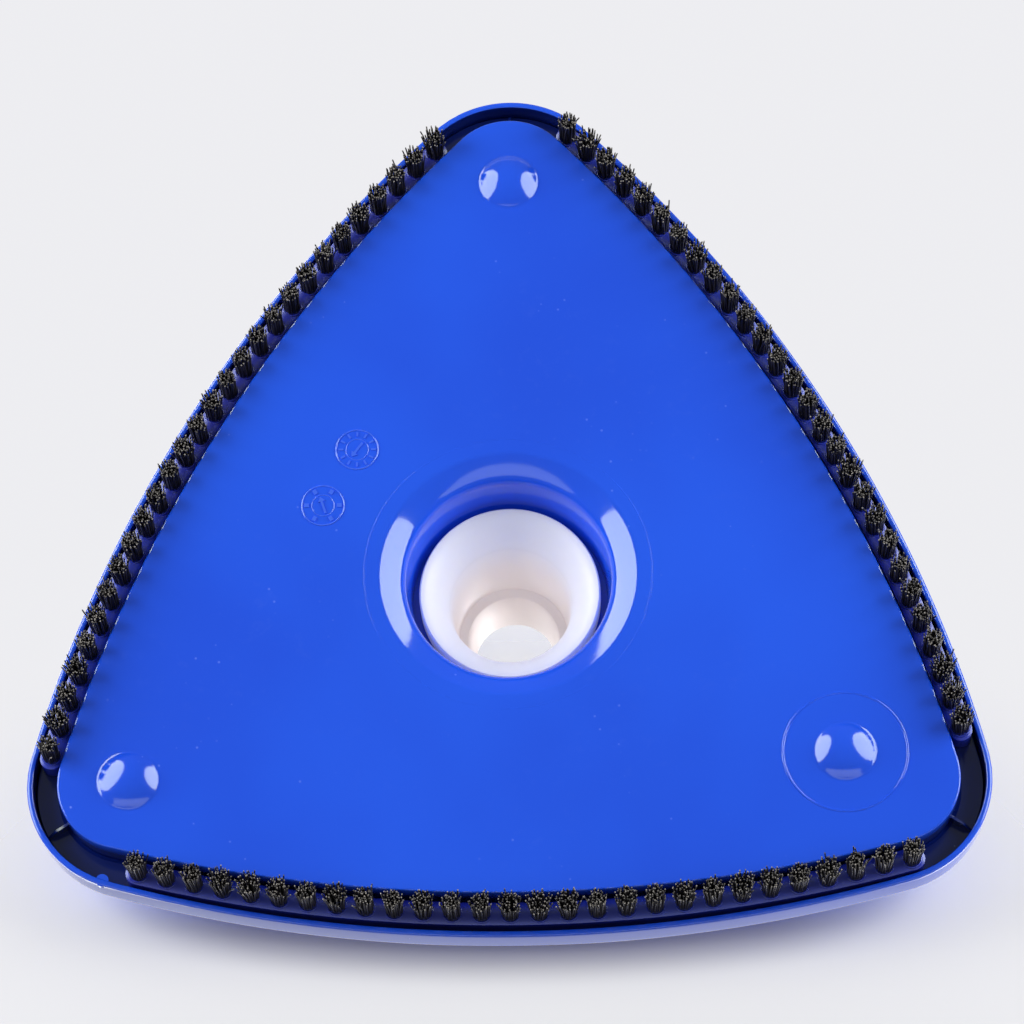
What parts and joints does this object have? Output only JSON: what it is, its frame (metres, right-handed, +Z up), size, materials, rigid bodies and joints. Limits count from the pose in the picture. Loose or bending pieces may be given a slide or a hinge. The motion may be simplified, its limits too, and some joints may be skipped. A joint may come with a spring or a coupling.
{
  "type": "weighted triangular pool vacuum head",
  "caption": "Weighted three-sided pool vacuum head with a central suction mouth, bristle rows round the rim, a swivelling stepped hose nipple and a folding forked clip handle.",
  "frame": {"origin": "centre of the whole head's box, on the floor plane that the bristle tips touch; the suction axis is parallel to Z, 24.0 mm towards +Y", "axes": "+Z up, away from the pool floor; -Y towards the pointed nose, +Y towards the flat rear side; +X to the right"},
  "size_m": [0.2858, 0.2716, 0.088],
  "materials": {
    "blue_plastic": "glossy moulded",
    "white_plastic": "satin moulded",
    "nylon_bristle": "cut bristle",
    "cast_iron": "as cast",
    "stainless_steel": "bright",
    "washer_rubber": "moulded"
  },
  "bodies": {
    "head": {"top_shell": "blue_plastic", "bottom_plate": "blue_plastic", "rear_brush_strip": "blue_plastic", "right_brush_strip": "blue_plastic", "left_brush_strip": "blue_plastic", "rear_bristles": "nylon_bristle", "right_bristles": "nylon_bristle", "left_bristles": "nylon_bristle", "nose_ballast": "cast_iron", "right_ballast": "cast_iron", "left_ballast": "cast_iron", "nose_screw": "stainless_steel", "right_screw": "stainless_steel", "left_screw": "stainless_steel", "swivel_washer": "washer_rubber", "right_pivot_pin": "stainless_steel", "left_pivot_pin": "stainless_steel"},
    "nipple": {"hose_nipple": "white_plastic", "snap_ring": "white_plastic"},
    "handle": {"handle_yoke": "white_plastic", "clip_spring": "stainless_steel"},
    "right_button": {"right_clip_button": "stainless_steel"},
    "left_button": {"left_clip_button": "stainless_steel"}
  },
  "joints": [
    {"name": "nipple_swivel", "type": "hinge", "parent": "head", "child": "nipple", "pos_m": [0, 0.02405, 0.04], "axis": [0, 0, 1], "continuous": true},
    {"name": "handle_pivot", "type": "hinge", "parent": "head", "child": "handle", "pos_m": [0, 0.02405, 0.054], "axis": [-1, 0, 0], "range_deg": [0, 165]},
    {"name": "right_button_press", "type": "slide", "parent": "handle", "child": "right_button", "axis": [-1, 0, 0], "range_m": [0, 0.004], "stiffness_N_per_m": 1500, "springref_m": -0.003, "deforming": ["clip_spring"]},
    {"name": "left_button_press", "type": "slide", "parent": "handle", "child": "left_button", "axis": [1, 0, 0], "range_m": [0, 0.004], "stiffness_N_per_m": 1500, "springref_m": -0.003, "deforming": ["clip_spring"]}
  ]
}
